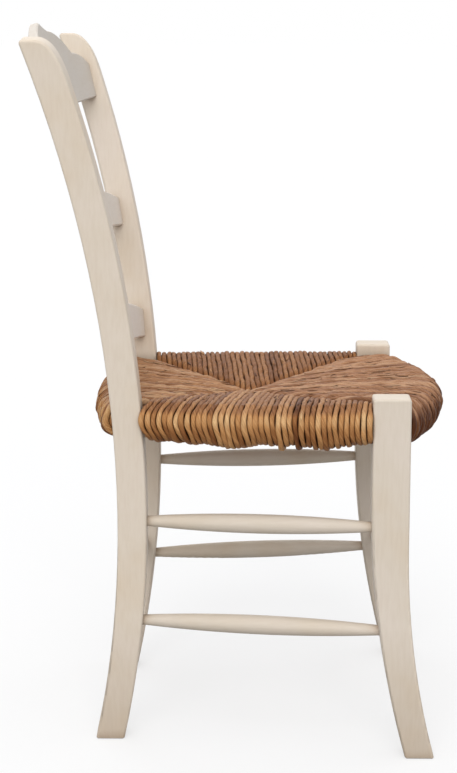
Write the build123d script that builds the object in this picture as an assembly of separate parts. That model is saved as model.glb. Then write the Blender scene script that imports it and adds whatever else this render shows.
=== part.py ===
from build123d import *
import os
from collections import namedtuple
from math import asin, atan, cos, radians, sin, sqrt, tan

# Rush-seated ladder-back side chair, in millimetres.
# It stands on z = 0 and faces -Y. X runs across it, with the sitter's left at +X.

# Legs and posts
LEG_WIDTH = 36.0            # side-to-side thickness of every leg and post
EDGE_ROUND = 3.0            # easing of the long edges
CORNER_ROUND = 4.0          # easing of the top corners, seen from the side
FOOT_BEVEL = 1.5            # round the sawn end that stands on the floor

# Front legs: straight above, swept forward to the foot
FRONT_WIDTH = 416.0         # across the outsides of the two legs
FRONT_LEG_HEIGHT = 455.0
FRONT_FACE_Y = -208.6       # front of the straight upper part
FRONT_LEG_DEPTH = 46.0      # front to back, upper part
FRONT_FOOT_DEPTH = 36.0     # front to back, on the floor
FRONT_FOOT_KICK = 36.0      # reach of the foot ahead of the upper part
FRONT_SWEEP_TOP = 270.0     # height where the front edge starts its sweep
FRONT_HOLLOW_TOP = 330.0    # height where the back edge starts its sweep

# Rear posts: sawn to a double sweep from a plank, and leaning outwards
POST_HEIGHT = 879.0
POST_WAIST_HEIGHT = 305.0   # the post comes furthest forward here
LEG_SPREAD = 338.0          # from the front leg's face to the middle of the post's waist
POST_DEPTH = 36.0           # front to back, from the floor to the waist
POST_TOP_DEPTH = 40.0       # front to back, at the top before the shoulder
POST_FOOT_KICK = 34.0       # reach of the foot behind the waist
POST_RAKE = 101.0           # reach of the top behind the waist
REAR_FLOOR_WIDTH = 296.0    # across the outsides of the posts on the floor
REAR_TOP_WIDTH = 486.0      # across the outsides of the posts at the top
SHOULDER_DROP = 48.0        # length of the rounded front shoulder
SHOULDER_FLAT = 19.0        # flat left on top, behind the shoulder

# Back boards: bent to a bow and tenoned into the posts
BOARD_THICKNESS = 12.0
BOARD_BEVEL = 1.8           # along the edges of a board
BOARD_TENON_LENGTH = 16.0
BOARD_TENON_THICKNESS = 7.0
BOARD_TENON_SHOULDER = 5.0  # board left above and below its tenon

CREST_DROP = 86.0           # lower edge at the posts, below the post tops
CREST_BOW = 28.0            # its middle behind its ends
CREST_UPRIGHT = 2.5         # degrees by which it stands more upright than the posts
CREST_END_HEIGHT = 47.0     # at the posts
CREST_PEAK_RUN = 57.0       # half width of the middle gable
CREST_PEAK_RISE = 12.0
CREST_PEAK_ROUND = 14.0
CREST_LOBE_RUN = 93.0       # width of the long lobe beside the gable
CREST_LOBE_FALL = 34.0
CREST_END_FALL = 19.0       # fall of the short lobe beside the post
CREST_NOTCH_ROUND = 3.0     # in the notch between the two lobes

SLAT_BOW = 18.0             # its middle behind its ends
SLAT_END_HEIGHT = 40.0      # at the posts
SLAT_TOP_RISE = 28.0        # arch of the upper edge
SLAT_FOOT_RISE = 12.0       # arch of the lower edge
UPPER_SLAT_DROP = 174.0     # lower edge at the posts, below the crest rail's
UPPER_SLAT_SETBACK = 8.0    # its middle behind the middle of the posts
LOWER_SLAT_RISE = 50.0      # lower edge at the posts, above the seat rails' middle

# Turned stretchers
STRETCHER_END = 13.0        # diameter at the ends and tenons
SIDE_STRETCHER_SWELL = 24.0
CROSS_STRETCHER_SWELL = 22.0
LOWER_STRETCHER_Z = 160.0
UPPER_STRETCHER_Z = 292.0
CROSS_STRETCHER_Z = 182.0
TENON_SHOWING = 2.0         # straight part of a tenon outside the leg

# Seat frame
RAIL_DIAMETER = 30.0
RAIL_DROP = 38.5            # middle of the seat rails, below the tops of the front legs
RAIL_TENON = 15.0           # diameter
RAIL_TENON_LENGTH = 16.0
RAIL_SHOULDER = 2.0         # room between a side rail's shoulder and the leg
FRONT_RAIL_SETBACK = 16.5   # its middle at the legs, behind the leg's face
FRONT_RAIL_BOW = 45.2       # to the front
REAR_RAIL_SETBACK = 12.0    # its middle at the posts, behind the middle of their waist
REAR_RAIL_BOW = 16.2        # to the back

# Rush seat: one cord wound round the four rails, with packed straw inside
RUSH_THICKNESS = 12.0
RUSH_DISH = 17.0            # depth of the middle below the rolled edge
RUSH_FRONT_PANEL = 195.5    # from the front leg's face to where the four panels meet
RUSH_CORNER = 12.0          # plan rounding of the wound edge at the corners
PAD_SPACING = 12.0          # between two straw pads, where the cord crosses the seat
ROLL_FLAT = 0.2             # flat left at the widest part of the rolled edge

# Clearances
FIT = 0.15                  # all round a tenon
SOCKET_SPARE = 1.0          # past the end of a tenon
SOFT_GAP = 0.3              # between the rush, the rails, the straw and the legs

# Values that follow from those above
LEAN = atan((REAR_TOP_WIDTH - REAR_FLOOR_WIDTH) / 2 / POST_HEIGHT)
POST_HALF_WIDTH = LEG_WIDTH / 2 / cos(LEAN)     # measured level
FOOT_SPARE = LEG_WIDTH * tan(LEAN)              # cut off level with the floor
FRONT_LEG_X = (FRONT_WIDTH - LEG_WIDTH) / 2
FRONT_LEG_BACK_Y = FRONT_FACE_Y + FRONT_LEG_DEPTH
POST_WAIST_Y = FRONT_FACE_Y + LEG_SPREAD
RAIL_Z = FRONT_LEG_HEIGHT - RAIL_DROP
FRONT_RAIL_Y = FRONT_FACE_Y + FRONT_RAIL_SETBACK
REAR_RAIL_Y = POST_WAIST_Y + REAR_RAIL_SETBACK
RUSH_CROSSING_Y = FRONT_FACE_Y + RUSH_FRONT_PANEL
CREST_Z = POST_HEIGHT - CREST_DROP
UPPER_SLAT_Z = CREST_Z - UPPER_SLAT_DROP
LOWER_SLAT_Z = RAIL_Z + LOWER_SLAT_RISE
ROLL_RADIUS = RAIL_DIAMETER / 2 + SOFT_GAP + RUSH_THICKNESS
CUTTER = 2 * (FRONT_WIDTH + POST_HEIGHT)        # larger than the chair

# A back board: height of its lower edge and of its ends, bow, place behind the posts' middle,
# and the angle by which it stands more upright than the posts
Board = namedtuple("Board", "z_low end_height bow setback upright")
CREST = Board(CREST_Z, CREST_END_HEIGHT, CREST_BOW, 0, radians(CREST_UPRIGHT))
UPPER_SLAT = Board(UPPER_SLAT_Z, SLAT_END_HEIGHT, SLAT_BOW, UPPER_SLAT_SETBACK, 0)
LOWER_SLAT = Board(LOWER_SLAT_Z, SLAT_END_HEIGHT, SLAT_BOW, 0, 0)


def arc_radius(run, fall):
    """Radius of an arc that starts level and falls by fall over run."""
    return (run**2 + fall**2) / (2 * fall)


def arc_drop(run, fall, at):
    """Fall of that arc at a distance along the run."""
    radius = arc_radius(run, fall)
    return radius - sqrt(radius**2 - at**2)


def along(height):
    """Length along a leaning post for a height above the floor."""
    return height / cos(LEAN)


def post_edge(height, side):
    """Front (side -1), middle (0) or back (1) of the post at a height."""
    waist_y = POST_WAIST_Y + side * POST_DEPTH / 2
    reach = along(height - POST_WAIST_HEIGHT)
    if reach < 0:
        return waist_y + arc_drop(along(POST_WAIST_HEIGHT) + FOOT_SPARE, POST_FOOT_KICK, -reach)
    rake = POST_RAKE + side * (POST_TOP_DEPTH - POST_DEPTH) / 2
    return waist_y + arc_drop(along(POST_HEIGHT - POST_WAIST_HEIGHT), rake, reach)


def post_slope(height):
    """Angle of the post from upright, seen from the side, at a height above the waist."""
    radius = arc_radius(along(POST_HEIGHT - POST_WAIST_HEIGHT), POST_RAKE)
    return asin(along(height - POST_WAIST_HEIGHT) / radius)


def post_x(height):
    """Middle of the left post's width at a height."""
    return REAR_FLOOR_WIDTH / 2 - POST_HALF_WIDTH + height * tan(LEAN)


def between_posts(height):
    """Half the clear width between the posts at a height."""
    return post_x(height) - POST_HALF_WIDTH


def leg_edge(height, side):
    """Front (side -1), middle (0) or back (1) of the front leg at a height."""
    front = FRONT_FACE_Y
    back = FRONT_LEG_BACK_Y
    if height < FRONT_SWEEP_TOP:
        front -= arc_drop(FRONT_SWEEP_TOP, FRONT_FOOT_KICK, FRONT_SWEEP_TOP - height)
    if height < FRONT_HOLLOW_TOP:
        back_kick = FRONT_FOOT_KICK + FRONT_LEG_DEPTH - FRONT_FOOT_DEPTH
        back -= arc_drop(FRONT_HOLLOW_TOP, back_kick, FRONT_HOLLOW_TOP - height)
    return (front + back) / 2 + side * (back - front) / 2


def other_side(solid):
    """The same piece on the sitter's right."""
    return mirror(solid, about=Plane.YZ)


def post_plane():
    """Plane of the left post: local x runs back, local y runs up along the post."""
    return Plane(origin=(post_x(0), 0, 0), x_dir=(0, 1, 0), z_dir=(cos(LEAN), 0, -sin(LEAN)))


def eased(plank, normal):
    """Round the sawn outline of a plank on both faces, and bevel its foot."""
    outline = [
        edge for edge in plank.edges()
        if abs(edge.tangent_at(0.5).dot(normal)) < 0.5 and edge.center().Z > CORNER_ROUND
    ]
    leg = fillet(outline, EDGE_ROUND)
    return chamfer(leg.faces().sort_by(Axis.Z)[0].edges(), FOOT_BEVEL)


def front_leg_blank():
    """Left front leg, before its sockets."""
    foot_front = (FRONT_FACE_Y - FRONT_FOOT_KICK, 0)
    foot_back = (foot_front[0] + FRONT_FOOT_DEPTH, 0)
    front_top = (FRONT_FACE_Y, FRONT_LEG_HEIGHT)
    back_top = (FRONT_LEG_BACK_Y, FRONT_LEG_HEIGHT)
    front_start = (FRONT_FACE_Y, FRONT_SWEEP_TOP)
    back_start = (FRONT_LEG_BACK_Y, FRONT_HOLLOW_TOP)
    profile = make_face([
        Line(front_top, front_start),
        TangentArc(front_start, foot_front, tangent=(0, -1)),
        Line(foot_front, foot_back),
        TangentArc(back_start, foot_back, tangent=(0, -1)),
        Line(back_start, back_top),
        Line(back_top, front_top),
    ])
    profile = fillet(profile.vertices().sort_by(Axis.Y)[-2:], CORNER_ROUND)
    plane = Plane(origin=(FRONT_LEG_X, 0, 0), x_dir=(0, 1, 0), z_dir=(1, 0, 0))
    leg = extrude(plane * profile, LEG_WIDTH / 2, both=True)
    return eased(leg, plane.z_dir)


def rear_post_blank():
    """Left rear post, before its mortises and sockets."""
    waist = along(POST_WAIST_HEIGHT)
    top = along(POST_HEIGHT)
    shoulder = top - SHOULDER_DROP
    front_waist = (post_edge(POST_WAIST_HEIGHT, -1), waist)
    back_waist = (post_edge(POST_WAIST_HEIGHT, 1), waist)
    front_foot = (front_waist[0] + POST_FOOT_KICK, -FOOT_SPARE)
    back_foot = (back_waist[0] + POST_FOOT_KICK, -FOOT_SPARE)
    back_top = (post_edge(POST_HEIGHT, 1), top)
    front_shoulder = (post_edge(shoulder * cos(LEAN), -1), shoulder)
    front_sweep = TangentArc(front_waist, front_shoulder, tangent=(0, 1))
    rising = front_sweep.tangent_at(1) * (SHOULDER_DROP / 2)
    flat_front = (back_top[0] - SHOULDER_FLAT, top)
    profile = make_face([
        TangentArc(front_waist, front_foot, tangent=(0, -1)),
        Line(front_foot, back_foot),
        TangentArc(back_waist, back_foot, tangent=(0, -1)),
        TangentArc(back_waist, back_top, tangent=(0, 1)),
        Line(back_top, flat_front),
        Bezier(
            flat_front,
            (flat_front[0] - SHOULDER_FLAT, top),
            (front_shoulder[0] + rising.X, shoulder + rising.Y),
            front_shoulder,
        ),
        front_sweep,
    ])
    back_corner = profile.vertices().sort_by_distance((*back_top, 0))[0]
    profile = fillet(back_corner, CORNER_ROUND)
    plane = post_plane()
    plank = extrude(plane * profile, LEG_WIDTH / 2, both=True)
    return eased(split(plank, Plane.XY, keep=Keep.TOP), plane.z_dir)


def spindle(start, end, swell, start_tenon, end_tenon):
    """Turned stretcher between two tenon tips, barrelled between its straight ends."""
    axis = Vector(*end) - Vector(*start)
    length = axis.length
    radius = STRETCHER_END / 2
    belly = (swell / 2, (start_tenon + length - end_tenon) / 2)
    profile = make_face([
        Line((0, 0), (radius, 0)),
        Line((radius, 0), (radius, start_tenon)),
        ThreePointArc((radius, start_tenon), belly, (radius, length - end_tenon)),
        Line((radius, length - end_tenon), (radius, length)),
        Line((radius, length), (0, length)),
        Line((0, length), (0, 0)),
    ])
    turned = revolve(Plane.XZ * profile, Axis.Z)
    return Plane(origin=start, z_dir=axis) * turned


def socket(tip, toward, diameter, depth):
    """Cutter for a round socket whose bottom lies just past the tip of its tenon."""
    axis = (Vector(*toward) - Vector(*tip)).normalized()
    bottom = Vector(*tip) - axis * SOCKET_SPARE
    hole = Cylinder(diameter / 2 + FIT, depth, align=(Align.CENTER, Align.CENTER, Align.MIN))
    return Plane(origin=bottom, z_dir=axis) * hole


def board_middle(board):
    """Height of the middle of a board's ends."""
    return board.z_low + board.end_height / 2


def board_frame(board):
    """Plane of a leaning back board: x across, y up the board, origin on its lower edge."""
    middle = board_middle(board)
    tilt = post_slope(middle) - board.upright
    up = Vector(0, sin(tilt), cos(tilt))
    origin = Vector(0, post_edge(middle, 0) + board.setback, middle) - up * (board.end_height / 2)
    return Plane(origin=origin, x_dir=(1, 0, 0), z_dir=(0, -cos(tilt), sin(tilt)))


def bent_layer(board, thickness):
    """Everything within a thickness of a board's bent middle surface."""
    frame = board_frame(board)
    radius = arc_radius(between_posts(board_middle(board)), board.bow)
    outer = Circle(radius + thickness / 2)
    ring = outer - Circle(radius - thickness / 2)
    back_half = Rectangle(CUTTER, CUTTER, align=(Align.CENTER, Align.MIN))
    plan = Plane(origin=frame.origin, x_dir=(1, 0, 0), z_dir=frame.y_dir)
    return extrude(plan * Pos(0, board.bow - radius) * (ring & back_half), CUTTER / 2, both=True)


def post_gap(grow):
    """The space between the posts, as a prism that leans with their inner faces."""
    low = between_posts(0) + grow
    high = between_posts(POST_HEIGHT * 2) + grow
    face = make_face(Polyline(
        (-low, 0), (low, 0), (high, POST_HEIGHT * 2), (-high, POST_HEIGHT * 2), close=True
    ))
    return extrude(Plane.XZ * face, CUTTER, both=True)


def board_tenons(board, grow=0.0):
    """Both tenons of a board; grow makes the cutter for their mortises."""
    root = BOARD_THICKNESS
    tip = BOARD_TENON_LENGTH + (SOCKET_SPARE if grow else 0)
    height = board.end_height - 2 * BOARD_TENON_SHOULDER + 2 * grow
    block = Rectangle(root + tip, height)
    middle = between_posts(board_middle(board)) + (tip - root) / 2
    face = Pos(middle, board.end_height / 2) * block + Pos(-middle, board.end_height / 2) * block
    sawn = extrude(board_frame(board) * face, board.bow + BOARD_THICKNESS, both=True)
    return sawn & bent_layer(board, BOARD_TENON_THICKNESS + 2 * grow)


def bent_board(board, outline):
    """A board of the given outline, bent to the bow, with shoulders and tenons at the posts."""
    sawn = extrude(board_frame(board) * outline, board.bow * 2 + BOARD_THICKNESS, both=True)
    bent = sawn & bent_layer(board, BOARD_THICKNESS) & post_gap(-FIT)
    shoulders = bent.faces().sort_by(Axis.X)
    shoulder_edges = shoulders[0].edges() + shoulders[-1].edges()
    long_edges = [
        edge for edge in bent.edges()
        if edge not in shoulder_edges and edge.length > BOARD_THICKNESS * 1.5
    ]
    return chamfer(long_edges, BOARD_BEVEL) + board_tenons(board)


def slat_outline(slat):
    """Slat with both edges arched, drawn past the posts."""
    reach = between_posts(board_middle(slat))
    end = reach + BOARD_TENON_LENGTH
    top = SLAT_END_HEIGHT + SLAT_TOP_RISE
    top_end = top - arc_drop(reach, SLAT_TOP_RISE, end)
    foot_end = SLAT_FOOT_RISE - arc_drop(reach, SLAT_FOOT_RISE, end)
    return make_face([
        ThreePointArc((-end, foot_end), (0, SLAT_FOOT_RISE), (end, foot_end)),
        Line((end, foot_end), (end, top_end)),
        ThreePointArc((end, top_end), (0, top), (-end, top_end)),
        Line((-end, top_end), (-end, foot_end)),
    ])


def crest_outline():
    """Crest rail: level below; above, a middle gable and two falling lobes on each side."""
    end_x = between_posts(CREST_Z + CREST_END_HEIGHT)
    over_x = end_x + BOARD_TENON_LENGTH
    low_x = CREST_PEAK_RUN + CREST_LOBE_RUN
    low = CREST_END_HEIGHT + CREST_END_FALL
    high = low + CREST_LOBE_FALL
    sides = []
    for side in (1, -1):
        end = (side * end_x, CREST_END_HEIGHT)
        low_notch = (side * low_x, low)
        high_notch = (side * CREST_PEAK_RUN, high)
        sides += [
            Line((0, 0), (side * over_x, 0)),
            Line((side * over_x, 0), (side * over_x, CREST_END_HEIGHT)),
            Line((side * over_x, CREST_END_HEIGHT), end),
            TangentArc(low_notch, end, tangent=(side, 0)),
            TangentArc(high_notch, low_notch, tangent=(side, 0)),
            Line(high_notch, (0, high + CREST_PEAK_RISE)),
        ]
    face = make_face(sides)
    notches = [face.vertices().sort_by_distance((side * low_x, low, 0))[0] for side in (1, -1)]
    face = fillet(notches, CREST_NOTCH_ROUND)
    return fillet(face.vertices().sort_by(Axis.Y)[-1], CREST_PEAK_ROUND)


def rail_y(x, end_x, end_y, bow):
    """Middle of a bowed rail at a distance across; a negative bow is to the front."""
    side = 1 if bow > 0 else -1
    return end_y + bow - side * arc_drop(end_x, abs(bow), x)


def front_rail_y(x):
    return rail_y(x, FRONT_LEG_X - LEG_WIDTH / 2, FRONT_RAIL_Y, -FRONT_RAIL_BOW)


def rear_rail_y(x):
    return rail_y(x, between_posts(RAIL_Z), REAR_RAIL_Y, REAR_RAIL_BOW)


def bowed_bar(end_x, end_y, bow):
    """Whole ring that a bowed rail is cut from."""
    radius = arc_radius(end_x, bow)
    return Pos(0, end_y + bow - radius, RAIL_Z) * Torus(abs(radius), RAIL_DIAMETER / 2)


def cross_tenon(end_x, y, grow=0.0):
    """Left tenon of a front or rear seat rail; grow makes the cutter for its socket."""
    root = RAIL_TENON / 2
    length = root + RAIL_TENON_LENGTH + (SOCKET_SPARE if grow else 0)
    bar = Cylinder(RAIL_TENON / 2 + grow, length, align=(Align.CENTER, Align.CENTER, Align.MIN))
    return Pos(end_x - root, y, RAIL_Z) * Rot(0, 90, 0) * bar


def front_rail():
    end_x = FRONT_LEG_X - LEG_WIDTH / 2
    room = Box(2 * (end_x - FIT), CUTTER, CUTTER, align=(Align.CENTER, Align.MAX, Align.CENTER))
    bar = bowed_bar(end_x, FRONT_RAIL_Y, -FRONT_RAIL_BOW) & room
    tenon = cross_tenon(end_x, FRONT_RAIL_Y)
    return bar + tenon + other_side(tenon)


def rear_rail():
    end_x = between_posts(RAIL_Z)
    back = Box(CUTTER, CUTTER, CUTTER, align=(Align.CENTER, Align.MIN, Align.CENTER))
    bar = bowed_bar(end_x, REAR_RAIL_Y, REAR_RAIL_BOW) & back & post_gap(-FIT)
    tenon = cross_tenon(end_x, REAR_RAIL_Y)
    return bar + tenon + other_side(tenon)


def seat_corners():
    """Left front and left rear corners of the seat, where the rails' middle lines cross."""
    rear_x = post_x(RAIL_Z)
    return (FRONT_LEG_X, front_rail_y(FRONT_LEG_X)), (rear_x, rear_rail_y(rear_x))


def side_rail_tips():
    """Ends of the left seat rail's tenons, on the line between the seat's corners."""
    front, rear = seat_corners()
    slope = (rear[0] - front[0]) / (rear[1] - front[1])
    front_tip_y = FRONT_LEG_BACK_Y - RAIL_TENON_LENGTH
    rear_tip_y = post_edge(RAIL_Z, -1) + RAIL_TENON_LENGTH
    return [(front[0] + slope * (y - front[1]), y, RAIL_Z) for y in (front_tip_y, rear_tip_y)]


def side_rail():
    """Left seat rail: a straight bar with a coned shoulder and a tenon at each end."""
    start, end = side_rail_tips()
    axis = Vector(*end) - Vector(*start)
    length = axis.length
    thin = RAIL_TENON / 2
    full = RAIL_DIAMETER / 2
    shoulder = RAIL_TENON_LENGTH + RAIL_SHOULDER
    cone = shoulder + full - thin
    profile = make_face(Polyline(
        (0, 0), (thin, 0), (thin, shoulder), (full, cone),
        (full, length - cone), (thin, length - shoulder), (thin, length), (0, length),
        close=True,
    ))
    return Plane(origin=start, z_dir=axis) * revolve(Plane.XZ * profile, Axis.Z)


def seat_plan():
    """Plan of the rails' middle lines, with the front and rear bows."""
    front, rear = seat_corners()
    face = make_face([
        ThreePointArc((-front[0], front[1]), (0, front_rail_y(0)), front),
        Line(front, rear),
        ThreePointArc(rear, (0, rear_rail_y(0)), (-rear[0], rear[1])),
        Line((-rear[0], rear[1]), (-front[0], front[1])),
    ])
    return fillet(face.vertices(), RUSH_CORNER)


def seat_dish(inset):
    """The hollow over the seat: it falls from the rails to the crossing of the four panels."""
    top = RAIL_Z + ROLL_RADIUS - inset
    crossing = Vertex(0, RUSH_CROSSING_Y, top - RUSH_DISH)
    rim = Pos(0, 0, top) * seat_plan()
    return loft([rim, crossing])


def seat_form(inset):
    """The wound seat's outside, with rolled edges and dished top, drawn in by inset."""
    half = ROLL_RADIUS - inset
    plan = offset(seat_plan(), half)
    form = extrude(Pos(0, 0, RAIL_Z - half) * plan, 2 * half)
    rims = form.faces().sort_by(Axis.Z)
    form = fillet(rims[0].edges() + rims[-1].edges(), half - ROLL_FLAT / 2)
    return form - seat_dish(inset)


def leg_notches():
    """The four corners of the seat that the legs and posts take up."""
    front = Pos(FRONT_LEG_X - LEG_WIDTH / 2 - SOFT_GAP, FRONT_LEG_BACK_Y + SOFT_GAP, RAIL_Z)
    front_left = front * Box(CUTTER, CUTTER, CUTTER, align=(Align.MIN, Align.MAX, Align.CENTER))
    rear_y = post_edge(RAIL_Z - ROLL_RADIUS, -1) - SOFT_GAP
    rear = post_plane() * Pos(rear_y, 0, -LEG_WIDTH / 2 - SOFT_GAP)
    rear_left = rear * Box(CUTTER, CUTTER, CUTTER, align=(Align.MIN, Align.CENTER, Align.MIN))
    return [front_left, other_side(front_left), rear_left, other_side(rear_left)]


def rush_seat():
    seat = seat_form(0) - seat_form(RUSH_THICKNESS)
    for notch in leg_notches():
        seat -= notch
    return seat


def straw_pads():
    """Straw packed into the four pockets between the upper and lower rush, inside the rails."""
    inset = RUSH_THICKNESS + SOFT_GAP
    half = ROLL_RADIUS - inset
    plan = offset(seat_plan(), -RAIL_DIAMETER / 2 - SOFT_GAP)
    packed = extrude(Pos(0, 0, RAIL_Z - half) * plan, 2 * half) - seat_dish(inset)
    for notch in leg_notches():
        packed -= notch
    front, rear = seat_corners()
    ring = {
        "front": (front, (-front[0], front[1])),
        "left": (front, rear),
        "rear": (rear, (-rear[0], rear[1])),
        "right": ((-front[0], front[1]), (-rear[0], rear[1])),
    }
    crossing = Vector(0, RUSH_CROSSING_Y)
    pads = {}
    for name, corners in ring.items():
        far = [crossing + (Vector(*corner) - crossing) * 2 for corner in corners]
        wedge = offset(make_face(Polyline(crossing, far[0], far[1], close=True)), -PAD_SPACING / 2)
        pads[f"{name}_straw_pad"] = packed & extrude(wedge, CUTTER)
    return pads


def stretcher_lines():
    """Tenon tips of the left side stretchers and of the two cross stretchers."""
    lines = {}
    for name, z in (("lower", LOWER_STRETCHER_Z), ("upper", UPPER_STRETCHER_Z)):
        front = (FRONT_LEG_X, leg_edge(z, 0), z)
        rear = (post_x(z), post_edge(z, 0), z)
        lines[name] = (front, rear)
    z = CROSS_STRETCHER_Z
    lines["front"] = ((FRONT_LEG_X, leg_edge(z, 0), z), (-FRONT_LEG_X, leg_edge(z, 0), z))
    lines["rear"] = ((post_x(z), post_edge(z, 0), z), (-post_x(z), post_edge(z, 0), z))
    return lines


def build():
    leg = front_leg_blank()
    post = rear_post_blank()
    pieces = {}

    lines = stretcher_lines()
    across = LEG_WIDTH / 2 + TENON_SHOWING
    for name in ("lower", "upper"):
        front, rear = lines[name]
        in_leg = leg_edge(front[2], 1) - leg_edge(front[2], 0) + TENON_SHOWING
        in_post = POST_DEPTH / 2 + TENON_SHOWING
        stretcher = spindle(front, rear, SIDE_STRETCHER_SWELL, in_leg, in_post)
        pieces[f"{name}_left_stretcher"] = stretcher
        pieces[f"{name}_right_stretcher"] = other_side(stretcher)
        leg -= socket(front, rear, STRETCHER_END, FRONT_LEG_DEPTH)
        post -= socket(rear, front, STRETCHER_END, POST_TOP_DEPTH)
    for name in ("front", "rear"):
        left, right = lines[name]
        pieces[f"{name}_stretcher"] = spindle(left, right, CROSS_STRETCHER_SWELL, across, across)
        hole = socket(left, right, STRETCHER_END, LEG_WIDTH)
        if name == "front":
            leg -= hole
        else:
            post -= hole

    pieces["front_seat_rail"] = front_rail()
    pieces["rear_seat_rail"] = rear_rail()
    leg -= cross_tenon(FRONT_LEG_X - LEG_WIDTH / 2, FRONT_RAIL_Y, FIT)
    post -= cross_tenon(between_posts(RAIL_Z), REAR_RAIL_Y, FIT)
    rail = side_rail()
    pieces["left_seat_rail"] = rail
    pieces["right_seat_rail"] = other_side(rail)
    front_tip, rear_tip = side_rail_tips()
    leg -= socket(front_tip, rear_tip, RAIL_TENON, FRONT_LEG_DEPTH)
    post -= socket(rear_tip, front_tip, RAIL_TENON, POST_TOP_DEPTH)

    boards = {
        "crest_rail": (CREST, crest_outline()),
        "upper_slat": (UPPER_SLAT, slat_outline(UPPER_SLAT)),
        "lower_slat": (LOWER_SLAT, slat_outline(LOWER_SLAT)),
    }
    for name, (board, outline) in boards.items():
        pieces[name] = bent_board(board, outline)
        post -= board_tenons(board, FIT)

    pieces["front_leg_left"] = leg
    pieces["front_leg_right"] = other_side(leg)
    pieces["rear_post_left"] = post
    pieces["rear_post_right"] = other_side(post)
    pieces["rush_seat"] = rush_seat()
    pieces.update(straw_pads())
    return pieces


os.makedirs("parts", exist_ok=True)
for node, piece in build().items():
    export_step(piece, f"parts/{node}.step")
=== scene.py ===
import math
import random
from dataclasses import dataclass, replace

import bpy
import numpy as np
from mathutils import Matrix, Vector
from mathutils.bvhtree import BVHTree


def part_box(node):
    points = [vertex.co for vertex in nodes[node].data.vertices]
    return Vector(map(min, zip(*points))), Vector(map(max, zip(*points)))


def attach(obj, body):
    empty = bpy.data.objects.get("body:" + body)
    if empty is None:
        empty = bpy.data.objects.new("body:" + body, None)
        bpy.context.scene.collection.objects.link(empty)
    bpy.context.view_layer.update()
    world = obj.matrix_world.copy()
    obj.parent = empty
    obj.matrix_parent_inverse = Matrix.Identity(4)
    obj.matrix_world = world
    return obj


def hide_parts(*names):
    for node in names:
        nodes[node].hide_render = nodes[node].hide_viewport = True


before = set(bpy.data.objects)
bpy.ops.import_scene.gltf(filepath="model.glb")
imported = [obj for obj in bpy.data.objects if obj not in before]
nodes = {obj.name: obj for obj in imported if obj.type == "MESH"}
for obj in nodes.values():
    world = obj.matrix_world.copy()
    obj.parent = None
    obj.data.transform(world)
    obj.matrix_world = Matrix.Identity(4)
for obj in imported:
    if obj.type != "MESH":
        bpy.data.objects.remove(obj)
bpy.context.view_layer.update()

MM = 0.001
FULL_TURN = 2 * math.pi
BLACK = (0.0, 0.0, 0.0, 1.0)
WHITE = (1.0, 1.0, 1.0, 1.0)

# Seat frame, in millimetres, as in the part's source
RAIL_Z = 416.5              # middle of the rails
ROLL_RADIUS = 27.3          # of the rush round a rail
DISH = 17.0                 # depth of the seat's middle below its edge
CROSSING = np.array([0.0, -13.1])           # where the four panels meet
FRONT_CORNER = np.array([190.0, -181.2])    # ends of the left side rail
REAR_CORNER = np.array([174.9, 137.4])
FRONT_ARC_RADIUS = 349.9    # the front rail's bow, and the place of its middle
FRONT_ARC_MIDDLE = -237.3
REAR_ARC_RADIUS = 766.9
REAR_ARC_MIDDLE = 157.6
FRONT_LEG_INSIDE = 172.0    # half the width between the legs, and between the posts
REAR_POST_INSIDE = 156.8
FRONT_LEG_BACK = -162.6
REAR_POST_FRONT = 115.0
SEAM_SHARES = (-0.3, 1.02)  # a seam counts from outside its corner to just past the crossing
PARALLEL = 1e-9             # below this, a cord runs along a seam and doesn't meet it

# Rush cord, in millimetres
CORD_PITCH = 6.8
CORD_WIDTH = 7.7
CORD_HEIGHT = 8.2
WIDTH_SPREAD = (0.93, 1.05)
HEIGHT_SPREAD = (0.88, 1.08)
CORD_SIDES = 12
THIN_SIDES = 6              # of a hidden turn, a loose leaf or a stalk
CORD_STEP = 4.5             # between the points of a turn on the flat
TWIST_PITCH = 46.0
TWIST_PHASES = 6.28         # a cord's twist starts anywhere up to this angle
CORD_LEAVES = 2             # bundles twisted into a cord
CORD_LOBES = 0.07           # depth of the twist, as a share of the cord
RIDGES = 3                  # smaller ridges round it, their share of that depth and their own twist
RIDGE_SHARE = 0.5
RIDGE_TWIST = 1.7
CORD_SQUARE = 0.78          # below 1, the section is pressed square by its neighbours
CORD_PLUMP = 0.06           # slow change of size along a cord, and its length
PLUMP_LENGTH = 44.0
END_SIZE = 0.55             # a cord thins to this share at its ends, over this length
END_LENGTH = 8.0
TEXTURE_STARTS = 40.0       # a cord's texture starts anywhere up to this place, in metres
WAVES = (1.0, 1.9, 3.3)     # a slow wander is a sum of waves, this many to its length
WAVE_SIZES = (0.4, 1.0)

# Lie of a turn of cord, in millimetres; a level goes from 1 at the roll's top to -1 at its bottom
UNDER_DEPTH = 6.0           # the hidden first layer lies this much deeper
UNDER_PAST = -4.0           # and ends before the seam
# the hidden layer takes the darkest tint, as painted shade in the gaps between the turns
UNDER_SHADE_TINT = -1.0
SHORTEST = 6.0              # least length of a turn on the flat
CROWN_REACH = 90.0          # a panel's crown is full where its turns are this long
TUCK_BEFORE = 15.0          # a turn starts to dip this far before the seam
TUCK_LENGTH = 24.0
LOOSE_SAG = 3.0             # greatest random sag of a turn under its rail
SAG_LEVEL = 0.1             # a turn sags below this level
SAG_FADE = 28.0             # and the sag fades under the seat over this length
WANDER_LENGTH = 80.0
SIDEWAYS = 0.4              # random place along the rail
SWELL_LENGTH = 70.0
LEAN_LEVEL = 0.6            # a turn leans below this level
LEAN_FADE = 1.5
SHOULDER = 0.86             # outward end of a side roll's shoulder, as a share of the radius
FLAT_SLANT = 0.35           # a cord's slant on the flat, as a share of that on the shoulder
HANGING = {16: (6.5, 0.85), 13: (5.5, 0.0)}     # loose turns of the right side, by number: sag and tint
NOT_HANGING = (0.0, None)
END_RINGS = (6.0, 11.0)     # depths of the turns that fill the end of a roll beside a leg or post
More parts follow.
